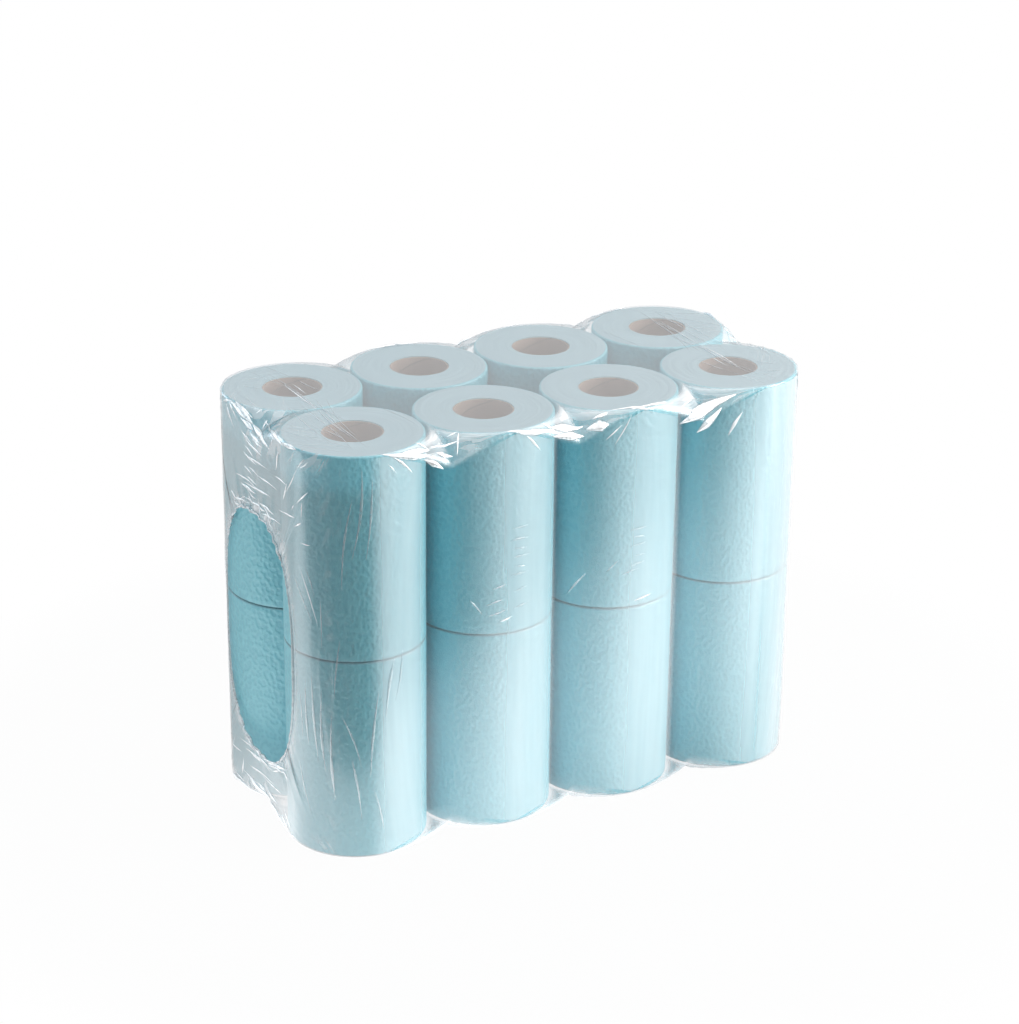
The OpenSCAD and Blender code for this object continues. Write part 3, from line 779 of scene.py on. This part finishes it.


# Folds and flat facets of the film, marked in the photograph: x and y of the start and of
# the end in its pixels, and the width in millimetres, where a negative width is a faint one
FOLD_MARKS = np.array((
    (244, 466, 252, 475, 2), (249, 467, 259, 477, 1.6), (247, 476, 257, 485, 2),
    (241, 482, 256, 494, 3.4), (243, 451, 257, 466, 2.6), (246, 440, 262, 456, 3),
    (252, 438, 262, 447, 2), (244, 444, 254, 458, 2), (241, 430, 252, 444, 3), (247, 489, 256, 499, 2),
    (248, 496, 256, 505, 2), (245, 437, 256, 452, 2.4), (226, 403, 234, 427, 2.2),
    (229, 402, 237, 420, 3), (231, 401, 253, 424, 7), (236, 401, 253, 418, 4), (240, 418, 253, 430, 5),
    (252, 424, 268, 446, 6), (250, 432, 260, 444, 4), (258, 431, 270, 450, 5), (262, 430, 268, 420, 2),
    (264, 420, 270, 430, 2), (268, 429, 283, 446, 4), (281, 443, 296, 450, 5), (224, 400, 232, 402, 3),
    (272, 446, 274, 436, 1.6), (256, 414, 263, 409, 1), (233, 500, 243, 507, 4),
    (240, 505, 252, 510, 4), (231, 490, 236, 500, 3), (240, 498, 245, 496, 2),
    (243, 503, 256, 512, 2.4), (256, 503, 265, 511, 3), (258, 505, 262, 520, 2),
    (262, 505, 270, 520, 2), (268, 516, 272, 528, 1.6), (273, 530, 277, 542, 1.4),
    (234, 496, 250, 503, 2), (304, 459, 297, 469, 1.2), (297, 469, 286, 492, 1.3),
    (308, 462, 300, 468, 1.3), (308, 492, 297, 503, 1.6), (302, 503, 301, 518, 1.2),
    (294, 527, 301, 523, 1.8), (292, 510, 294, 505, 1.4), (301, 543, 310, 546, 1.2),
    (283, 500, 287, 484, 2), (278, 452, 276, 470, 3), (381, 455, 432, 456, 7), (402, 453, 430, 450, 5),
    (424, 460, 444, 469, 6), (413, 443, 428, 449, 3), (429, 447, 459, 440, 2.6),
    (436, 453, 452, 456, 6), (446, 438, 458, 432, 1.6), (459, 433, 457, 456, 2),
    (393, 457, 412, 473, 2.4), (388, 464, 396, 474, 1.2), (505, 432, 556, 430, 6),
    (550, 428, 583, 426, 9), (552, 437, 584, 436, 8), (585, 430, 609, 424, 10), (592, 419, 608, 412, 4),
    (525, 434, 541, 450, 2.2), (605, 440, 622, 425, 1.3), (615, 445, 632, 414, 1.3),
    (540, 424, 552, 428, 3), (608, 411, 655, 409, 3), (630, 410, 668, 402, 4), (680, 424, 722, 400, 11),
    (690, 412, 736, 394, 9), (697, 432, 722, 408, 9), (728, 436, 742, 412, 4), (682, 407, 692, 400, 2),
    (283, 384, 316, 409, -2.6), (316, 409, 350, 437, -3), (296, 398, 345, 420, -1.6),
    (268, 374, 300, 393, -1.2), (298, 380, 322, 391, -1.2), (292, 384, 306, 394, 1.2),
    (324, 430, 346, 441, -2), (334, 422, 356, 438, -1.6), (243, 396, 258, 413, -1.2),
    (275, 430, 330, 440, -0.9), (285, 424, 325, 432, -0.9), (290, 445, 345, 446, -0.9),
    (325, 442, 350, 448, -1), (240, 380, 262, 378, -0.8), (241, 386, 262, 389, -0.8),
    (250, 372, 290, 388, -0.9), (262, 366, 296, 380, -0.8), (310, 425, 330, 436, -1),
    (300, 405, 325, 424, -1), (640, 312, 700, 352, -1.6), (652, 310, 704, 340, -1.2),
    (665, 312, 722, 344, -1.2), (648, 318, 690, 352, -0.9), (600, 330, 640, 346, -0.7),
    (250, 508, 255, 512, 3), (283, 384, 316, 409, 1.6), (240, 738, 256, 752, 2),
    (246, 748, 262, 764, 3), (256, 755, 272, 770, 2.4), (250, 765, 275, 785, 2.4),
    (262, 775, 283, 795, 2), (244, 770, 262, 786, 2), (236, 772, 246, 782, 2),
    (256, 790, 276, 810, 2.6), (232, 742, 242, 752, 2), (298, 563, 318, 627, 1),
    (293, 573, 312, 623, -2), (303, 562, 315, 600, -1), (305, 680, 309, 745, -3),
    (312, 676, 318, 760, -3.4), (322, 690, 326, 772, -3), (331, 715, 336, 800, -3.4),
    (342, 717, 362, 767, -1.8), (378, 693, 371, 777, -3), (394, 657, 386, 722, -3.6),
    (402, 650, 396, 700, -2.4), (340, 640, 334, 700, -1.8), (300, 760, 312, 815, -2),
    (352, 760, 362, 820, -2.4), (374, 790, 384, 830, -2), (300, 690, 303, 740, -1.6),
    (320, 600, 322, 650, -1.4), (362, 470, 352, 560, -3), (372, 480, 366, 560, -2.4),
    (352, 500, 342, 590, -2.2), (512, 529, 528, 525, -2), (511, 541, 529, 536, -2.6),
    (513, 549, 527, 547, -1.8), (512, 558, 530, 553, -2.2), (514, 566, 526, 565, -2),
    (511, 576, 528, 571, -2.4), (513, 592, 526, 586, -2), (514, 608, 529, 601, -2.6),
    (630, 530, 647, 526, -2), (632, 538, 645, 536, -2.2), (629, 547, 646, 542, -2),
    (633, 556, 645, 553, -1.8), (630, 566, 644, 560, -2.2), (622, 575, 640, 568, -2),
    (633, 601, 651, 593, 2), (618, 560, 606, 572, -2), (586, 573, 567, 594, -3),
    (470, 600, 482, 615, -2), (486, 606, 502, 600, -2.4), (488, 616, 508, 608, -2),
    (492, 590, 506, 584, -2), (500, 622, 512, 616, 2),
))


def marked_folds(points):
    """The marked folds as rows of their start, their end and their width, in metres.

    The place of a pixel is where the camera's sight line through it first meets the film's
    outer skin, to the nearest millimetre, because the marks are no finer.
    """
    faces = grid_faces(points.shape[0], points.shape[1], False, True)
    skin = BVHTree.FromPolygons(points.reshape(-1, 3).tolist(), faces.tolist())
    pixels = FOLD_MARKS[:, :4].reshape(-1, 2)
    focal = LENS / SENSOR * PHOTO_H
    rays = np.stack([(pixels[:, 0] - PHOTO_W / 2) / focal, (PHOTO_H / 2 - pixels[:, 1]) / focal,
                     np.full(len(pixels), -1.0)], -1) @ np.array(VIEW.to_3x3()).T
    places = np.array([skin.ray_cast(VIEW.translation, Vector(ray.tolist()).normalized())[0] for ray in rays])
    whole_mm = np.round(places.reshape(-1, 6) * 1000)
    return np.concatenate([whole_mm, FOLD_MARKS[:, 4:]], 1) / 1000


def all_folds(points):
    """The folds of the left end, front and top, with their half-turned copies, and copies along the foot.

    A copy for the foot turns the height over: about the oval's middle near the rim, and about the
    pack's middle near the edge.
    """
    marked = marked_folds(points)
    start, stop = marked[:, :3], marked[:, 3:6]
    on_end = (start[:, 0] < -0.2555) & (stop[:, 0] < -0.2555)
    rim, edge = on_end & (start[:, 2] < 0.3215), on_end & (start[:, 2] > 0.3765)
    parts = [marked]
    for chosen, about in ((rim, 0.369), (edge, 0.401)):
        low = marked[chosen].copy()
        low[:, 2], low[:, 5] = about - low[:, 2], about - low[:, 5]
        low[:, [1, 4]] *= -1
        parts.append(low)
    here = np.concatenate(parts)
    there = here * np.array([-1, -1, 1, -1, -1, 1, 1])
    return np.concatenate([here, there])


def lay_on_film(places, points, normal):
    """Drops places on the film, and gives them with the normals there.

    Each place moves along the normal of the nearest grid point to the tangent plane there.
    """
    flat, up = points.reshape(-1, 3), normal.reshape(-1, 3)
    offset = 0.5 * (flat ** 2).sum(1)
    batches = np.array_split(places, len(places) // 200 + 1)
    near = np.concatenate([np.argmax(batch @ flat.T - offset, 1) for batch in batches])
    n = up[near] / np.maximum(np.linalg.norm(up[near], axis=1, keepdims=True), 1e-9)
    return places - n * ((places - flat[near]) * n).sum(1, keepdims=True), n


def fold_piece(points, normal):
    """Thin flat folds on the film.

    A fold runs from its start to its end in a straight line with a small seeded bow, and each
    place of it is dropped on the film. The section is a low arch of six points whose width
    rises to a seeded peak along the fold and falls again.
    """
    rng = np.random.default_rng(11)
    steps, ring = 15, 6
    t = np.linspace(0, 1, steps)
    smooth = np.eye(steps)
    for k in range(1, steps - 1):
        smooth[k, k - 1:k + 2] = 0.25, 0.5, 0.25
    smooth = smooth @ smooth
    folds = all_folds(points)
    chords = folds[:, None, :3] * (1 - t[None, :, None]) + folds[:, None, 3:6] * t[None, :, None]
    laid, ups = lay_on_film(chords.reshape(-1, 3), points, normal)
    laid, ups = laid.reshape(chords.shape), ups.reshape(chords.shape)
    all_points, all_faces, all_uvs, count = [], [], [], 0
    for number, width in enumerate(folds[:, 6]):
        line, up = smooth @ laid[number], smooth @ smooth @ ups[number]
        along = np.gradient(line, axis=0)
        size = np.linalg.norm(along, axis=1, keepdims=True)
        if size.min() < 1e-6:
            continue
        along /= size
        up /= np.linalg.norm(up, axis=1, keepdims=True)
        aside = np.cross(along, up)
        span = np.linalg.norm(line[-1] - line[0])
        bow = rng.uniform(-0.04, 0.04) * span * np.sin(np.pi * t)
        line = line + aside * bow[:, None]
        peak = rng.uniform(0.3, 0.7)
        swell = np.clip(np.minimum(t / peak, (1 - t) / (1 - peak)), 0.04, 1) ** 0.75 * 1.25
        half = (abs(width) / 2 * swell)[:, None]
        arch = np.array([(-1, 0), (-0.55, 0.62), (0, 0.8), (0.55, 0.62), (1, 0), (0, -0.2)])
        tilt = rng.uniform(-0.35, 0.35)
        grid = np.stack([line + aside * half * c + up * (half * (h * 0.5 + tilt * c * 0.3) + FOLD_LIFT)
                         for c, h in arch], 1)
        k = np.arange(steps - 1)[:, None] * ring
        m = np.arange(ring)[None, :]
        mm = (m + 1) % ring
        faces = np.stack([k + m, k + ring + m, k + ring + mm, k + mm], -1).reshape(-1, 4)
        caps = np.array([[0, 1, 2, 5], [2, 3, 4, 5]])
        last = (steps - 1) * ring
        faces = np.concatenate([faces, caps, last + caps[:, ::-1]])[:, ::-1]
        length = np.concatenate([[0], np.cumsum(np.linalg.norm(np.diff(line, axis=0), axis=1))]) + 0.1 * count
        across = np.array([0.01, 0.25, 0.5, 0.75, 0.99, 0.5]) + 2 * (width < 0)
        uv = np.stack([np.repeat(length, ring), np.tile(across, steps)], -1)
        all_points.append(grid.reshape(-1, 3))
        all_faces.append(faces + count * steps * ring)
        all_uvs.append(uv[faces])
        count += 1
    places = np.concatenate(all_points)
    places[:, 2] = np.maximum(places[:, 2], 0.0001)
    uvs = np.concatenate(all_uvs).reshape(-1, 2)
    piece = add_mesh("film_folds", places, np.concatenate(all_faces), uvs, FOLDED)
    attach(piece, "root")


fold_piece(*film_piece())


# Floor and light
def add_floor():
    """A plain pale floor that the camera sees as white, with the object's soft shadow kept."""
    half, level = 9.0, -0.0002
    points = np.array([[-half, -half, level], [half, -half, level],
                       [half, half, level], [-half, half, level]])
    material, n = new_material("pale_floor")
    seen = n.add("ShaderNodeLightPath").outputs
    white = n.math("MAXIMUM", seen["Is Camera Ray"], seen["Is Transmission Ray"])
    # Reflections see the white table, whose front edge crosses the view 0.39 m before the pack
    spot = n.add("ShaderNodeTexCoord").outputs["Object"]
    axes = n.add("ShaderNodeSeparateXYZ", {0: spot}).outputs
    depth = n.math("ADD", n.math("MULTIPLY", axes[0], 0.508), n.math("MULTIPLY", axes[1], 0.861))
    table = n.math("MULTIPLY", n.rise(depth, -0.405, -0.385, 0.22, 2.0), n.rise(depth, -0.22, 0.0, 1.0, 0.42))
    body = n.add("ShaderNodeBsdfDiffuse", {"Color": (0.78, 0.79, 0.80, 1)})
    glow = n.add("ShaderNodeEmission", {"Color": (1, 1, 1, 1), "Strength": 1.0})
    # Past the object's shadow the floor is plain white, and no light on it is worked out
    away = n.add("ShaderNodeVectorMath", {0: spot}, operation="LENGTH").outputs["Value"]
    share = n.math("MINIMUM", n.math("MULTIPLY", white, n.rise(away, 0.5, 0.75, 0.97, 1.02)), 1.0)
    plain = n.add("ShaderNodeMixShader", {0: share, 1: body.outputs[0], 2: glow.outputs[0]})
    mix = n.add("ShaderNodeMixShader", {0: seen["Is Glossy Ray"], 1: plain.outputs[0],
                                        2: n.add("ShaderNodeEmission", {"Strength": table}).outputs[0]})
    n.add("ShaderNodeOutputMaterial", {0: mix.outputs[0]})
    floor = add_mesh("floor", points, np.array([[0, 1, 2, 3]]), points[[[0, 1, 2, 3]]][..., :2], material)


def add_light(name, place, aim, size, power, colour):
    """A square soft light at a place, turned to a point."""
    data = bpy.data.lights.new(name, "AREA")
    data.shape = "SQUARE"
    data.size = size
    data.energy = power
    data.color = colour
    light = bpy.data.objects.new(name, data)
    bpy.context.scene.collection.objects.link(light)
    light.location = place
    light.rotation_euler = (Vector(aim) - Vector(place)).to_track_quat("-Z", "Y").to_euler()


def set_world():
    """A white world for camera and transmission rays, and a studio for the others.

    Reflections see it bright at the right, behind and above, and dim at the front left.
    """
    world = bpy.data.worlds.new("studio")
    bpy.context.scene.world = world
    world.use_nodes = True
    n = Nodes(world.node_tree)
    seen = n.add("ShaderNodeLightPath").outputs
    heading = n.add("ShaderNodeSeparateXYZ", {0: n.add("ShaderNodeTexCoord").outputs["Generated"]}).outputs
    # The white sweep stands at the right, behind and above; the front left of the room is dim
    right = n.math("ADD", n.math("MULTIPLY", heading[0], 0.88), n.math("MULTIPLY", heading[1], -0.476))
    away = n.math("ADD", n.math("MULTIPLY", heading[0], 0.476), n.math("MULTIPLY", heading[1], 0.88))
    sweep = n.math("MAXIMUM", n.rise(right, -0.42, 0.65), n.rise(away, 0.1, 0.75, 0.0, 0.38))
    sweep = n.math("MAXIMUM", sweep, n.rise(heading[2], 0.45, 0.8))
    low_right = n.math("MULTIPLY", n.rise(right, 0.2, 0.9), n.rise(heading[2], -0.7, -0.3))
    sweep = n.math("MAXIMUM", n.math("MULTIPLY", sweep, n.rise(heading[2], -0.05, 0.05)), low_right)
    plain = n.math("MAXIMUM", seen["Is Camera Ray"], seen["Is Transmission Ray"])
    gloss = n.add("ShaderNodeMapRange", {0: sweep, 3: 0.42, 4: 1.5}).outputs[0]
    other = n.math("SUBTRACT", 1.0, n.math("MAXIMUM", plain, seen["Is Glossy Ray"]))
    ambient = n.rise(right, -0.9, 0.7, 0.31, 0.86)
    neutral = n.math("MAXIMUM", plain, n.rise(right, -0.8, 0.1))
    tint = n.mix_colour(neutral, (0.80, 0.92, 1.0, 1), (1, 1, 1, 1))
    # A white panel stands low behind the left end, and the creases there mirror it
    panel = n.math("MULTIPLY", n.rise(heading[0], -0.35, 0.0, 1.0, 0.0), n.rise(heading[1], 0.35, 0.7))
    panel = n.math("MULTIPLY", panel, n.rise(heading[2], 0.15, 0.4, 2.2, 0.0))
    gloss = n.math("MULTIPLY", seen["Is Glossy Ray"], n.math("ADD", gloss, panel))
    level = n.math("ADD", n.math("ADD", plain, gloss), n.math("MULTIPLY", other, ambient))
    background = n.add("ShaderNodeBackground", {0: tint, 1: level})
    n.add("ShaderNodeOutputWorld", {0: background.outputs[0]})


add_floor()
add_light("key_light", (2.3, -1.8, 0.8), (0, 0, 0.2), 1.4, 59, (1.0, 0.99, 0.97))
add_light("top_light", (0.4, 0.9, 2.6), (0, 0, 0.3), 2.0, 8, (0.97, 0.99, 1.0))
add_light("left_fill", (-2.6, 0.2, 0.9), (0, 0, 0.2), 1.2, 5, (0.85, 0.92, 1.0))
set_world()
bpy.context.scene.view_settings.view_transform = "Standard"
